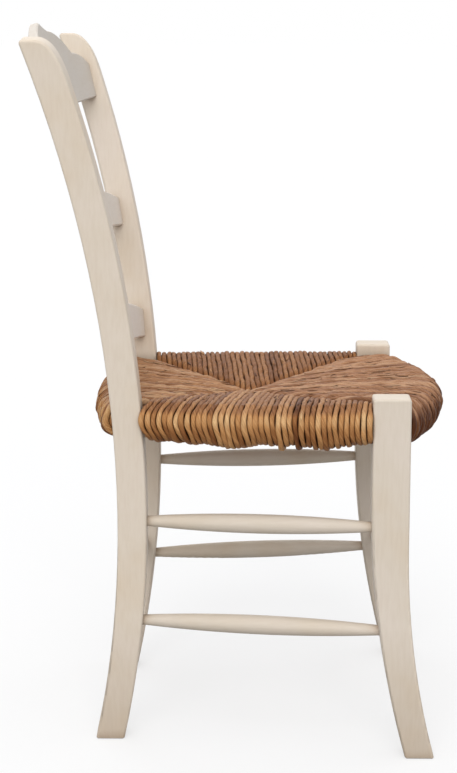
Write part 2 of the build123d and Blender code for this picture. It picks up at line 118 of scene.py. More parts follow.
CORNER_TURNS = (3.5, 9.0, 14.5)     # deeper turns that close a corner, this far from the leg or post
CORNER_DEPTH = 6.0
# their dark tint is painted shade in the corner
CORNER_SHADE_TINT = -0.3
SEAT_SEED = 21
CORNER_SEED = 22

# Colour of a turn of cord, by level, with its painted shade and highlight
MEAN_TINT = 0.53
TINT_SHAPE = (2.0, 1.8)     # of the spread of tints
TOP_EDGE = 0.6              # the flat's colours end here
TOP_FADE = 0.15
BROWN_EDGE = -0.3           # or here, where they run on down the roll
BROWN_FADE = 0.7
WEAR_AND_HIGHLIGHT_LEVEL = 0.4            # the shoulder, paler from wear and from a painted highlight
WEAR_AND_HIGHLIGHT_SPREAD = 0.3
SHADE_LEVEL = 0.85          # painted shade: a turn darkens below this level
SHADE_FADE = 0.9
SHADE_REACH = 30.0          # and the dark fades under the seat over this length

# Loose leaves on a cord, in millimetres
LEAF_STEPS = 12             # points of cord to a leaf, where the panel is frayed
SPARE_LEAVES = 0.6
LEAF_POINTS = (3, 7)
LEAF_MARGIN = 8             # points left free at the bottom of the roll
LEAF_ASKEW = 1.5
LEAF_SLEW = 2.0
LEAF_SEAT = 0.46            # share of the cord's height that a leaf lies on, and its room above that
LEAF_ROOM = 0.5
LEAF_CURL = 0.9
LEAF_TAPER = 0.6
LEAF_WIDTH = (1.8, 3.2)
LEAF_THICKNESS = 0.55       # share of the width
LEAF_TINTS = (-0.45, 0.3, 0.5)

# Side panels, along the rail from 0 at the front leg to 1 at the rear post, in millimetres
FAN = 0.12                  # slant of a turn over the shoulder
FAN_REAR = 0.24             # and what is added towards the rear post
FAN_REAR_START = 0.4
LEFT_FAN = 0.2              # share of that slant on the left side
LEAN = 1.0
LEAN_REAR = 6.5
THIN = 4.0                  # rise of the roll's underside
THIN_REAR = 5.0
THIN_REAR_START = 0.66
THIN_FRONT = 4.0
THIN_FRONT_END = 0.14
BULGES = ((4.0, 0.63, 0.08), (4.0, 0.21, 0.07))     # places that hang lower: depth, place, spread
LIFT_FRONT = 4.0            # rise of the roll's top on the right side
LIFT_FRONT_END = 0.3
LIFT_REAR = 2.0
LIFT_REAR_START = 0.7

# Front and rear panels, from -1 at the right leg or post to 1 at the left one
RISE_START = 0.5            # the top rises from here to the right corner
FALL_START = 0.3            # and falls from here to the left one
END_GAP = 0.55              # from a leg to the middle of the first cord, in cord widths

# Straw, in millimetres
STALKS = 150                # in each pocket
STALK_TRIES = 30            # for each stalk
STALK_POINTS = 7
STALK_SPREAD = 0.35         # of its heading, in radians
STALK_TILT = 0.03
STALK_HALF_LENGTH = (20, 75)
STALK_BEND = 6
STALK_SIZE = (2.2, 3.8)
STALK_FLATNESS = 0.8
STALK_LOBES = 0.05
STALK_PHASES = 6
PAD_MARGIN = 2.0            # from a stalk's line to the pocket's wall

# Grain of the paint: a piece's texture is drawn out along its length
STRETCH = 0.12
ALONG_X = (STRETCH, 1.0, 1.0)
ALONG_Y = (1.0, STRETCH, 1.0)
ALONG_Z = (1.0, 1.0, STRETCH)

# Paint, as screen colours: one paint, paler on the slats as painted light and reflection, and greyer or
# darker on the crest, legs and stretchers as painted shade
POST_PAINT = (222, 209, 192)
LEG_PAINT_SHADED = (214, 202, 186)
CREST_PAINT_SHADED = (212, 204, 194)
SLAT_PAINT_LIT = (230, 221, 210)
STRETCHER_PAINT_SHADED = (210, 198, 182)
BRUSH_MARKS = (236, 230, 222)
# dirt and painted shade where pieces meet
DIRT_AND_SHADE = (158, 132, 104)
# painted shade towards the floor
FLOOR_SHADE = (196, 182, 168)
# painted highlight on the edges
EDGE_HIGHLIGHT = (243, 236, 224)
CHIPPED = (186, 160, 130)

# Wear of the paint, with painted shade and a painted highlight: shares of those colours, and reaches in
# metres
BRUSH_SHARE = 0.22
DIRT_AND_SHADE_REACH = 0.02
DIRT_AND_SHADE_SHARE = 0.5
FLOOR_SHADE_HEIGHT = 0.17
FLOOR_SHADE_SHARE = 0.42
EDGE_RADIUS = 0.0035
EDGE_GAIN = 5.0
EDGE_HIGHLIGHT_SHARE = 0.25
CHIPPED_SHARE = 0.35

# Bare wood: screen colours, and its texture drawn out along the chair's depth
DARK_GRAIN = (150, 112, 74)
PALE_GRAIN = (198, 162, 118)
RAIL_GRAIN = (1.0, 0.25, 1.0)

# Rush and straw, as screen colours from the darkest tint to the palest, with lengths in metres
RUSH_SIDE = ((0.0, (94, 52, 24)), (0.3, (150, 99, 56)), (0.6, (199, 147, 94)), (1.0, (240, 204, 153)))
# the top's colours are darker and greyer than the sides': from wear, and as painted shade where less light
# falls on the top
RUSH_TOP = ((0.0, (86, 52, 33)), (0.3, (135, 93, 66)), (0.6, (180, 135, 102)), (1.0, (213, 175, 140)))
STRAW_PALE = ((0.0, (160, 128, 70)), (0.5, (200, 170, 104)), (1.0, (226, 204, 146)))
LEAF_GRAIN = (14.0, 1.6, 1.6)       # texture along and round a cord
FIBRE_GRAIN = (30.0, 9.0, 9.0)
TINT_SHARE = 0.6            # a colour is taken by a turn's tint and its leaves, less an offset
LEAVES_SHARE = 0.75
TINT_OFFSET = 0.16
FIBRE_SHADE = (162, 142, 122)
FIBRE_SHARE = 0.8
# painted shade between the turns, where they are occluded
CREVICE_SHADE = (60, 30, 12)
CREVICE_SHADE_REACH = 0.008
CREVICE_SHADE_SHARE = 0.9

# Studio, in metres
FLOOR_RADIUS = 60.0
FLOOR_SIDES = 64
FLOOR_Z = -0.0004           # just below the feet
FLOOR_GREY = (0.3, 0.3, 0.3, 1.0)
FLOOR_GLOW = 0.66           # brings the floor to white where it is seen
AMBIENT_COLOUR = (0.96, 0.97, 1.0, 1.0)
AMBIENT = 0.52
LIGHTS = {                  # direction towards the light, strength, and angle across in degrees
    "key": ((-0.72, 0.06, 0.69), 1.0, 40.0),
    "front": ((-0.95, 0.08, 0.28), 1.1, 50.0),
    "top": ((-0.10, 0.05, 1.00), 0.65, 80.0),
    "far_fill": ((0.85, 0.25, 0.45), 0.6, 60.0),
    "front_fill": ((0.35, -0.85, 0.40), 0.22, 60.0),
}

# The photograph's camera
PHOTO_HEIGHT = 773.0        # pixels, the longer side of the frame
FOCAL_LENGTH = 1867.15      # pixels
SENSOR = 36.0
CAMERA_PLACE = (-2.3921, -0.0222, 0.9052)
CAMERA_YAW = 0.015
CAMERA_PITCH = 0.1965


def srgb(r, g, b):
    """A colour given by its screen values, as the shader's linear colour."""
    def linear(c):
        c /= 255
        return c / 12.92 if c <= 0.04045 else ((c + 0.055) / 1.055) ** 2.4
    return (linear(r), linear(g), linear(b), 1.0)


def smooth(x):
    """0 up to 0, 1 from 1 on, and an eased rise between."""
    x = np.clip(x, 0, 1)
    return x * x * (3 - 2 * x)


def rising(part, start):
    """Eased rise from 0 at start to 1 at the end."""
    return smooth((part - start) / (1 - start))


def falling(part, end):
    """Eased fall from 1 at the beginning to 0 at end."""
    return smooth(1 - part / end)


def square(x, pressed):
    """A circle's coordinate, pressed towards a square."""
    return np.sign(x) * np.abs(x) ** pressed


def distances(points):
    """Distance along a line to each of its points."""
    steps = np.linalg.norm(np.diff(points, axis=0), axis=1)
    return np.concatenate([[0.0], np.cumsum(steps)])


def wave(rng, run, size, length):
    """Slow random wander along a cord."""
    value = np.zeros(len(run))
    for rate in WAVES:
        start = rng.uniform(0, FULL_TURN)
        value += np.sin(FULL_TURN * run * rate / length + start) * rng.uniform(*WAVE_SIZES) / rate
    return value * size


class Mesh:
    """Collects tubes into one mesh, with each point's place on its cord, tint and share of top colour."""

    def __init__(self):
        self.verts = []
        self.faces = []
        self.tint = []
        self.top = []
        self.cord = []
        self.count = 0

    def tube(self, points, across, out, width, height, phase, tint, top, texture_start,
             sides=CORD_SIDES, lobes=CORD_LOBES, pressed=CORD_SQUARE):
        """A closed twisted tube along points; across and out are unit vectors at each point."""
        run = distances(points)
        angle = np.linspace(0, FULL_TURN, sides, endpoint=False)
        turn = FULL_TURN * run / TWIST_PITCH + phase
        wound = angle[None, :] - turn[:, None]
        lobe = 1 + lobes * np.cos(CORD_LEAVES * wound)
        lobe += lobes * RIDGE_SHARE * np.cos(RIDGES * angle[None, :] + RIDGE_TWIST * turn[:, None])
        wide = (width / 2)[:, None] * lobe * square(np.cos(angle), pressed)[None, :]
        high = (height / 2)[:, None] * lobe * square(np.sin(angle), pressed)[None, :]
        rings = points[:, None, :] + wide[:, :, None] * across[:, None, :]
        rings = rings + high[:, :, None] * out[:, None, :]
        rows = len(points)
        self.verts.append(rings.reshape(-1, 3))
        self.tint.append(np.repeat(tint * np.ones(rows), sides))
        self.top.append(np.repeat(top, sides))
        self.cord.append(np.stack([
            np.repeat(run * MM + texture_start, sides),
            np.cos(wound).ravel(),
            np.sin(wound).ravel(),
        ], axis=1))
        first = self.count
        last = first + (rows - 1) * sides
        for a in range(first, last, sides):
            b = a + sides
            for k in range(sides):
                n = (k + 1) % sides
                self.faces.append((a + k, a + n, b + n, b + k))
        self.faces.append(tuple(first + k for k in reversed(range(sides))))
        self.faces.append(tuple(last + k for k in range(sides)))
        self.count += rows * sides

    def make(self, name):
        """The collected tubes as one smooth object in the scene."""
        mesh = bpy.data.meshes.new(name)
        verts = np.concatenate(self.verts) * MM
        mesh.from_pydata(verts.tolist(), [], self.faces)
        for label, values in (("tint", self.tint), ("top", self.top)):
            layer = mesh.attributes.new(label, "FLOAT", "POINT")
            layer.data.foreach_set("value", np.concatenate(values).astype(np.float32))
        layer = mesh.attributes.new("cord", "FLOAT_VECTOR", "POINT")
        layer.data.foreach_set("vector", np.concatenate(self.cord).astype(np.float32).ravel())
        mesh.polygons.foreach_set("use_smooth", [True] * len(mesh.polygons))
        mesh.update()
        piece = bpy.data.objects.new(name, mesh)
        bpy.context.scene.collection.objects.link(piece)
        return piece


def section(corners, count=25):
    """Even points round a roll's section, with its bends eased, and the outward direction at each."""
    run = distances(corners)
    places = np.linspace(0, run[-1], count)
    points = np.stack([np.interp(places, run, corners[:, k]) for k in (0, 1)], axis=1)
    eased = points.copy()
    eased[1:-1] = (points[:-2] + 2 * points[1:-1] + points[2:]) / 4
    along = np.gradient(eased, axis=0)
    along /= np.linalg.norm(along, axis=1)[:, None]
    return eased, np.stack([along[:, 1], -along[:, 0]], axis=1)


# Sections of the wound edge, from its top round to its bottom, in shares of the roll's radius:
# that of the side rails has a sloped shoulder and an upright face
SHOULDERED = section(np.array([
    (0, 1), (-0.43, 0.84), (-SHOULDER, 0.66), (-1, 0.3),
    (-1, -0.3), (-0.84, -0.74), (-0.45, -0.96), (0, -1),
]))
HALF_CIRCLE = np.linspace(0, math.pi, 13)
ROUND = section(np.array([(-math.sin(a), math.cos(a)) for a in HALF_CIRCLE]))


@dataclass(frozen=True)
class Style:
    """How the turns of one panel lie, in millimetres, and how they are coloured."""

    section: tuple          # points round the roll, and the outward direction at each
    past: float             # reach past the seam, under the neighbouring panel
    dip: float              # fall of that reach below the panel
    crown: float            # rise of the panel between its edge and the seam
    wander: float           # sideways
    swell: float            # outwards
    uneven: float           # greatest sinking of a turn into the roll
    frayed: float           # amount of loose leaves
    width: float            # share of the cord's width
    flat: float             # share of the top colours on the flat, which are darker from wear and from painted shade
    brown: bool             # whether those run on down the roll
    flat_shade: float              # tint taken off the flat as painted shade, or added as painted light where below 0
    low_shade: float         # tint taken off the lower roll, as painted shade
    wear_and_highlight: float             # tint added at the shoulder, for wear and a painted highlight
    even: float             # share of the spread of tints
    fan: float = 0.0        # slant over the shoulder
    lean: float = 0.0       # sideways shift down the roll
    thin: float = 0.0       # rise of the roll's underside
    lift: float = 0.0       # rise of the roll's top


RIGHT_STYLE = Style(
    section=SHOULDERED, past=6.0, dip=7.0, crown=2.0, wander=0.6, swell=0.35, uneven=1.4, frayed=0.5,
    width=0.91, flat=0.42, brown=False, flat_shade=0.22, low_shade=0.2, wear_and_highlight=0.3, even=0.9,
)
LEFT_STYLE = replace(RIGHT_STYLE, flat=0.15, flat_shade=0.42, even=0.45)
FRONT_STYLE = Style(
    section=ROUND, past=9.0, dip=5.0, crown=3.0, wander=1.1, swell=0.8, uneven=2.8, frayed=1.6,
    width=1.0, flat=1.0, brown=True, flat_shade=-0.07, low_shade=1.05, wear_and_highlight=0.0, even=1.0,
)
REAR_STYLE = replace(FRONT_STYLE, crown=1.5, flat=0.75, brown=False, flat_shade=-0.13, low_shade=0.25, thin=7.0)


@dataclass(frozen=True)
class EndPanel:
    """The front or the rear panel, wound round a bowed rail."""

    style: Style
    corner: np.ndarray      # its left end
    radius: float           # of the rail's bow
    middle: float           # the bow's place along Y
    half_width: float       # from the chair's middle to the leg or post
    facing: float           # 1 where its turns run to the back, -1 to the front
    spread: float           # slant of its turns, as a share of the bow's
    rise: float             # of the top at the right corner
    fall: float             # of the top at the left corner


FRONT_PANEL = EndPanel(
    FRONT_STYLE, FRONT_CORNER, FRONT_ARC_RADIUS, FRONT_ARC_MIDDLE, FRONT_LEG_INSIDE,
    facing=1.0, spread=1.0, rise=4.0, fall=0.0,
)
REAR_PANEL = EndPanel(
    REAR_STYLE, REAR_CORNER, REAR_ARC_RADIUS, REAR_ARC_MIDDLE, REAR_POST_INSIDE,
    facing=-1.0, spread=2.2, rise=1.0, fall=2.5,
)


def seam_hit(start, inward, corners):
    """Distance along a cord to the first seam it meets, and how far along that seam it is."""
    best = (math.inf, 0.0)
    for corner in corners:
        edge = CROSSING - corner
        matrix = np.array([[inward[0], -edge[0]], [inward[1], -edge[1]]])
        if abs(np.linalg.det(matrix)) < PARALLEL:
            continue
        reach, share = np.linalg.solve(matrix, corner - start)
        if 0 < reach < best[0] and SEAM_SHARES[0] < share < SEAM_SHARES[1]:
            best = (reach, min(max(share, 0.0), 1.0))
    return best


def whole_turn(flat, top, roll, below):
    """Values along a turn: on the flat above, round the roll and on the flat below."""
    return np.concatenate([np.broadcast_to(top, flat.shape), roll, np.broadcast_to(below, flat.shape)])


def turn_colours(style, tint, flat, level):
    """Tint along a turn, with its painted shade and highlight, and share of top colour."""
    upper = smooth((level - TOP_EDGE) / TOP_FADE)
    brown = smooth((level - BROWN_EDGE) / BROWN_FADE) if style.brown else upper
    flat_shade = np.ones(len(level)) if style.brown else upper
    wear_and_highlight = np.exp(-((level - WEAR_AND_HIGHLIGHT_LEVEL) / WEAR_AND_HIGHLIGHT_SPREAD) ** 2)
    dark = smooth((SHADE_LEVEL - level) / SHADE_FADE)
    tint = tint - style.flat_shade * whole_turn(flat, 1.0, flat_shade, flat_shade[-1])
    tint += style.wear_and_highlight * whole_turn(flat, 0.0, wear_and_highlight, 0.0)
    tint -= style.low_shade * whole_turn(flat, 0.0, dark, np.exp(-flat[::-1] / SHADE_REACH))
    return tint, style.flat * whole_turn(flat, 1.0, brown, brown[-1])


def wind(mesh, rng, start, inward, side, corners, style, hang=0.0, tint=None, under=False, depth=0.0):
    """One turn of cord: from the seam over the top, round the rail and back to the seam below."""
    shoulder = SHOULDER * ROLL_RADIUS
    slanted = inward - FLAT_SLANT * style.fan * side
    reach, share = seam_hit(start - style.fan * shoulder * side, slanted, corners)
    width = CORD_WIDTH * rng.uniform(*WIDTH_SPREAD) * style.width
    height = CORD_HEIGHT * rng.uniform(*HEIGHT_SPREAD)
    radius = ROLL_RADIUS - height / 2 - rng.uniform(0.0, style.uneven) - depth
    if under:
        radius -= UNDER_DEPTH
    length = reach + (UNDER_PAST if under else style.past)
    flat = np.arange(length, 0.0, -CORD_STEP)
    if len(flat) < 2:
        length = max(length, SHORTEST)
        flat = np.array([length, length / 2])
    below = flat[::-1]
    roll, normal = style.section
    level = roll[:, 1]

    # the turn's line in its upright plane: d inwards from the rail, z upwards
    inner = np.clip(flat / reach, 0, 1)
    crown = style.crown * np.sin(math.pi * inner) * min(1.0, reach / CROWN_REACH)
    tuck = style.dip * smooth((flat - reach + TUCK_BEFORE) / TUCK_LENGTH)
    top_z = RAIL_Z + radius - DISH * share * inner + crown - tuck + style.lift
    roll_z = RAIL_Z + radius * level + style.lift * smooth(level)
    below_z = RAIL_Z - radius + tuck[::-1]
    d = np.concatenate([flat, radius * roll[:, 0], below])
    z = np.concatenate([top_z, roll_z, below_z])
    sag = hang + rng.uniform(0, 1) ** 2 * LOOSE_SAG - style.thin
    low = smooth((SAG_LEVEL - level) / (SAG_LEVEL + 1))
    z = z - sag * whole_turn(flat, 0.0, low, np.exp(-below / SAG_FADE))
    run = distances(np.stack([d, z], axis=1))

    # its wander off that line, sideways and outwards
    face = whole_turn(flat, 0.0, smooth((LEAN_LEVEL - level) / LEAN_FADE), 1.0)
    slant = np.clip(d + shoulder, 0, shoulder) + FLAT_SLANT * np.maximum(d, 0)
    shift = wave(rng, run, style.wander, WANDER_LENGTH) + rng.uniform(-SIDEWAYS, SIDEWAYS)
    shift = shift - style.lean * face - style.fan * slant
    out_d = whole_turn(flat, 0.0, normal[:, 0], 0.0)
    out_z = whole_turn(flat, 1.0, normal[:, 1], -1.0)
    swell = wave(rng, run, style.swell, SWELL_LENGTH)
    plan = start + np.outer(d + out_d * swell, inward) + np.outer(shift, side)
    points = np.column_stack([plan, z + out_z * swell])
    across = np.tile([*side, 0.0], (len(points), 1))
    out = np.column_stack([np.outer(out_d, inward), out_z])

    plump = 1 + wave(rng, run, CORD_PLUMP, PLUMP_LENGTH)
    ends = np.minimum(1.0, END_SIZE + (1 - END_SIZE) * np.minimum(run, run[-1] - run) / END_LENGTH)
    size = plump * ends
    if tint is None:
        tint = MEAN_TINT + (rng.betavariate(*TINT_SHAPE) - MEAN_TINT) * style.even
    tint, top = turn_colours(style, tint, flat, level)
    mesh.tube(
        points, across, out, width * size, height * size, rng.uniform(0, TWIST_PHASES),
        UNDER_SHADE_TINT if under else tint, top, rng.uniform(0, TEXTURE_STARTS),
        sides=THIN_SIDES if under else CORD_SIDES,
    )
    if under:
        return
    leaves = int(rng.uniform(0, style.frayed) * len(flat) / LEAF_STEPS + rng.random() * SPARE_LEAVES)
    for _ in range(leaves):
        loose_leaf(mesh, rng, points, across, out, height, len(flat) + len(roll), top, tint)


def loose_leaf(mesh, rng, points, across, out, height, end, top, tint):
    """A narrow leaf that has worked loose from a cord and lies askew on it."""
    length = rng.randint(*LEAF_POINTS)
    first = rng.randint(1, max(2, end - length - LEAF_MARGIN))
    span = slice(first, first + length)
    t = np.linspace(-1, 1, length)
    askew = rng.uniform(-LEAF_ASKEW, LEAF_ASKEW) + rng.uniform(-LEAF_SLEW, LEAF_SLEW) * t
    raised = height * LEAF_SEAT + LEAF_ROOM + rng.uniform(0.0, LEAF_CURL) * t * t
    path = points[span] + across[span] * askew[:, None] + out[span] * raised[:, None]
    width = rng.uniform(*LEAF_WIDTH) * (1 - LEAF_TAPER * np.abs(t) ** 3)
    mesh.tube(
        path, across[span], out[span], width, width * LEAF_THICKNESS, rng.uniform(0, TWIST_PHASES),
        tint[span] + rng.choice(LEAF_TINTS), top[span], rng.uniform(0, TEXTURE_STARTS),
        sides=THIN_SIDES, lobes=0.0, pressed=1.0,
    )


def side_style(part, right, under):
    """How a turn of a side panel lies, part of the way from the front leg to the rear post."""
    fan = FAN + FAN_REAR * rising(part, FAN_REAR_START)
    thin = THIN + THIN_REAR * rising(part, THIN_REAR_START) + THIN_FRONT * falling(part, THIN_FRONT_END)
    for depth, place, spread in BULGES:
        thin -= depth * math.exp(-((part - place) / spread) ** 2)
    lift = LIFT_FRONT * falling(part, LIFT_FRONT_END) + LIFT_REAR * rising(part, LIFT_REAR_START)
    if not right:
        fan *= LEFT_FAN
        lift = 0.0
    if under:
        fan = 0.0
    style = RIGHT_STYLE if right else LEFT_STYLE
    return replace(style, fan=fan, lean=LEAN + LEAN_REAR * part, thin=thin, lift=lift)


def side_panel(mesh, rng, corner_rng, hand):
    """The turns round one side rail, with a hidden turn of the first layer between each two."""
    right = hand < 0
    mirror = np.array([hand, 1.0])
    rail = (REAR_CORNER - FRONT_CORNER) / np.linalg.norm(REAR_CORNER - FRONT_CORNER)
    side = rail * mirror
    inward = np.array([-rail[1], rail[0]]) * mirror
    corners = [FRONT_CORNER * mirror, REAR_CORNER * mirror]
    first = (FRONT_LEG_BACK - FRONT_CORNER[1]) / rail[1] + CORD_WIDTH / 2
    last = (REAR_POST_FRONT - FRONT_CORNER[1]) / rail[1]
    count = round((last - first) / CORD_PITCH)
    for half in range(2 * count + 1):
        under = half % 2 == 1
        part = half / 2 / count
        start = (FRONT_CORNER + rail * (first + (last - first) * part)) * mirror
        style = side_style(part, right, under)
        hang, tint = HANGING.get(half / 2, NOT_HANGING) if right else NOT_HANGING
        wind(mesh, rng, start, inward, side, corners, style, hang, tint, under)
    straight = replace(style, fan=0.0, lift=0.0)
    for ahead in CORNER_TURNS:
        start = (FRONT_CORNER + rail * (last - ahead)) * mirror
        wind(mesh, corner_rng, start, inward, side, corners, straight, tint=CORNER_SHADE_TINT, depth=CORNER_DEPTH)


def end_panel(mesh, rng, corner_rng, panel):
    """The turns round the front or the rear rail, which fan out over its bow."""
    corners = [panel.corner, panel.corner * np.array([-1.0, 1.0])]
    widest = math.asin((panel.half_width - CORD_WIDTH * END_GAP) / panel.radius)
    count = round(2 * widest * panel.radius / CORD_PITCH)
    for half in range(2 * count + 1):
        angle = -widest + widest * half / count
        place = angle / widest
        lift = panel.rise * rising(-place, RISE_START) - panel.fall * rising(place, FALL_START)
        style = replace(panel.style, lift=lift)
        bow = panel.radius * (1 - math.cos(angle))
        start = np.array([panel.radius * math.sin(angle), panel.middle + panel.facing * bow])
        fan = angle * panel.spread
        inward = np.array([-math.sin(fan), panel.facing * math.cos(fan)])
        side = np.array([panel.facing * inward[1], -panel.facing * inward[0]])
        wind(mesh, rng, start, inward, side, corners, style, under=half % 2 == 1)
        if half in (0, 2 * count):
            for depth in END_RINGS:
                wind(mesh, rng, start, inward, side, corners, style, depth=depth)
    inward = np.array([0.0, panel.facing])
    side = np.array([1.0, 0.0])
    for hand in (1.0, -1.0):
        for ahead in CORNER_TURNS:
            x = hand * (panel.half_width - ahead)
            bow = panel.radius - math.sqrt(panel.radius ** 2 - x ** 2)
            start = np.array([x, panel.middle + panel.facing * bow])
            wind(
                mesh, corner_rng, start, inward, side, corners, panel.style,
                tint=CORNER_SHADE_TINT, depth=CORNER_DEPTH,
            )


def rush_seat():
    """The whole wound seat: side panels first, then the front and rear panels over their ends."""
    mesh = Mesh()
    rng = random.Random(SEAT_SEED)
    corner_rng = random.Random(CORNER_SEED)
    for hand in (1.0, -1.0):
        side_panel(mesh, rng, corner_rng, hand)
    for panel in (FRONT_PANEL, REAR_PANEL):
        end_panel(mesh, rng, corner_rng, panel)
    return mesh.make("rush_weave")


def pad_inside(pad):
    """Test for a point, in millimetres, lying inside a closed solid by a set margin."""
    mesh = pad.data
    tree = BVHTree.FromPolygons([v.co[:] for v in mesh.vertices], [p.vertices[:] for p in mesh.polygons])

    def inside(point):
        p = Vector(point) * MM
        near, normal, _, distance = tree.find_nearest(p)
        return distance > PAD_MARGIN * MM and (p - near).dot(normal) < 0
    return inside


def straw(name, node):
    """Loose stalks packed into the space of one straw pad."""
    low, high = (np.array(corner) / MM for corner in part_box(node))
    inside = pad_inside(nodes[node])
    lengthwise = math.pi / 2 if node.startswith(("front", "rear")) else 0.0
    t = np.linspace(-1, 1, STALK_POINTS)
    rng = random.Random(node)
    mesh = Mesh()
    made = 0
    tries = 0
    while made < STALKS and tries < STALKS * STALK_TRIES:
        tries += 1
        middle = np.array([rng.uniform(low[k], high[k]) for k in range(3)])
        heading = rng.gauss(0, STALK_SPREAD) + lengthwise
        along = np.array([math.cos(heading), math.sin(heading), rng.gauss(0, STALK_TILT)])
        along /= np.linalg.norm(along)
        across = np.array([-along[1], along[0], 0.0])
        across /= np.linalg.norm(across)
        half = rng.uniform(*STALK_HALF_LENGTH)
        bend = rng.uniform(-STALK_BEND, STALK_BEND)
        points = middle + np.outer(t * half, along) + np.outer((1 - t * t) * bend, across)
        if not all(inside(p) for p in points):
            continue
        up = np.cross(along, across)
        size = np.full(STALK_POINTS, rng.uniform(*STALK_SIZE))
        mesh.tube(
            points, np.tile(across, (STALK_POINTS, 1)), np.tile(up, (STALK_POINTS, 1)),
            size, size * STALK_FLATNESS, rng.uniform(0, STALK_PHASES), rng.random(),
            np.zeros(STALK_POINTS), rng.uniform(0, TEXTURE_STARTS), sides=THIN_SIDES, lobes=STALK_LOBES,
        )
        made += 1
    return mesh.make(name)


class Nodes:
    """Adds and joins the nodes of one tree."""

    def __init__(self, tree):
        self.tree = tree

    def add(self, kind, inputs=None, **settings):
        """A new node of one kind, with values or links for its inputs."""
        node = self.tree.nodes.new("ShaderNode" + kind)
        for key, value in settings.items():
            setattr(node, key, value)
        for key, value in (inputs or {}).items():
            self.put(node.inputs[key], value)
        return node

    def put(self, socket, value):
        """A link to a socket, or a value that is the same all over."""
        if isinstance(value, bpy.types.NodeSocket):
            self.tree.links.new(value, socket)
        else:
            socket.default_value = value

    def ramp(self, factor, stops):
        """Colours picked by a factor; each stop is a place and a colour."""
        node = self.add("ValToRGB", {"Fac": factor})
        elements = node.color_ramp.elements
        while len(elements) < len(stops):
            elements.new(0.5)
        for element, (place, colour) in zip(elements, stops):
            element.position = place
            element.color = colour
        return node.outputs["Color"]

    def mix(self, factor, a, b, blend="MIX"):
        """Colour b blended into colour a, by a factor."""
        node = self.add("Mix", {0: factor, 6: a, 7: b}, data_type="RGBA", blend_type=blend)
        return node.outputs[2]

    def math(self, operation, a, b, clamp=False):
        """The result of one operation on two values."""
        node = self.add("Math", {0: a, 1: b}, operation=operation, use_clamp=clamp)
        return node.outputs[0]

    def scaled(self, value, gain, base):
        """A value times gain, plus base."""
        return self.math("ADD", self.math("MULTIPLY", value, gain), base)

    def weighed(self, a, a_share, b, b_share):
        """Two values added by their shares."""
        return self.math("ADD", self.math("MULTIPLY", a, a_share), self.math("MULTIPLY", b, b_share))

    def noise(self, vector, scale, detail, roughness):
        """Cloudy values, finer with a larger scale."""
        inputs = {"Vector": vector, "Scale": scale, "Detail": detail, "Roughness": roughness}
        return self.add("TexNoise", inputs).outputs["Fac"]

    def stretched(self, vector, scale):
        """A place scaled along each axis, which stretches a texture where the scale is small."""
        return self.add("Mapping", {"Vector": vector, "Scale": scale}).outputs["Vector"]

    def seen(self):
        """1 for the rays that show a surface, straight, mirrored or through glass, and 0 for its light."""
        ray = self.add("LightPath").outputs
        mirrored = self.math("MAXIMUM", ray["Is Glossy Ray"], ray["Is Transmission Ray"])
        return self.math("MAXIMUM", ray["Is Camera Ray"], mirrored)


class Finish(Nodes):
    """The nodes of a new material with a principled shader."""

    def __init__(self, name):
        self.material = bpy.data.materials.new(name)
        self.material.use_nodes = True
        super().__init__(self.material.node_tree)

    def surface(self, inputs):
        """Values or links for the shader's inputs."""
        shader = self.tree.nodes["Principled BSDF"]
        for key, value in inputs.items():
            self.put(shader.inputs[key], value)

    def bump(self, height, strength, depth):
        """Fine relief from a height, as a normal."""
        node = self.add("Bump", {"Strength": strength, "Distance": depth, "Height": height})
        return node.outputs["Normal"]


def stops(colours):
    """The stops of a ramp, from places and screen colours."""
    return [(place, srgb(*colour)) for place, colour in colours]


